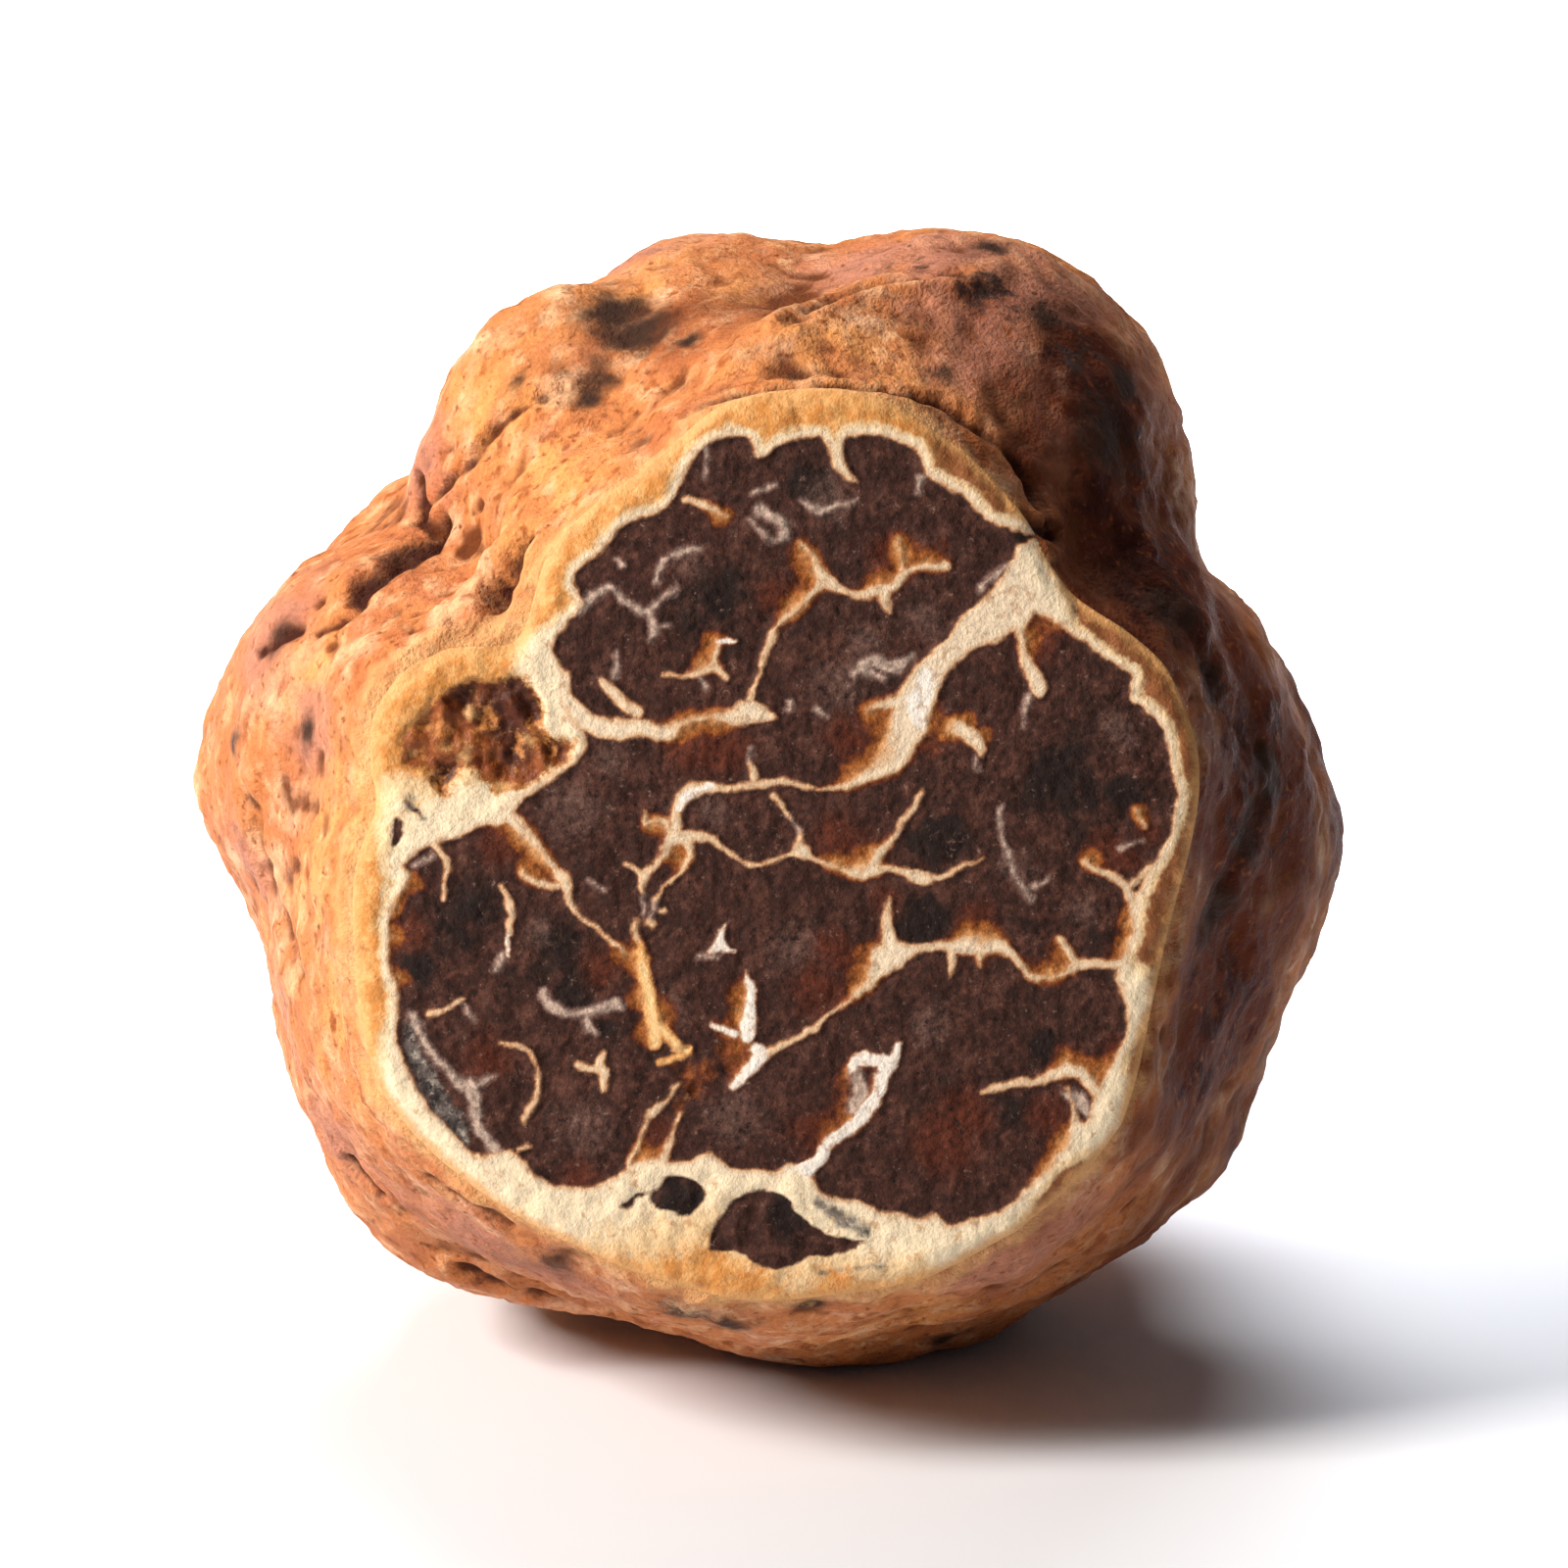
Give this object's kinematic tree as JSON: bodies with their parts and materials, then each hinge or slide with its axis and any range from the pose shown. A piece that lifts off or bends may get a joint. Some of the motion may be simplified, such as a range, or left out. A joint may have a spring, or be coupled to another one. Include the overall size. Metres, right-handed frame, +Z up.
{
  "type": "white truffle",
  "caption": "Knobbly rounded truffle with one end sliced off, showing dark flesh marbled by pale raised veins; rests on a small flat spot.",
  "frame": {"origin": "on the ground, under the middle of the outline seen from above; the flat spot it rests on is at z = 0", "axes": "+Z up, the sliced end faces -Y and leans back 11 degrees from upright"},
  "size_m": [0.0542, 0.0482, 0.054],
  "materials": {
    "truffle_skin": "matte"
  },
  "bodies": {
    "root": {"truffle": "truffle_skin"}
  },
  "joints": []
}
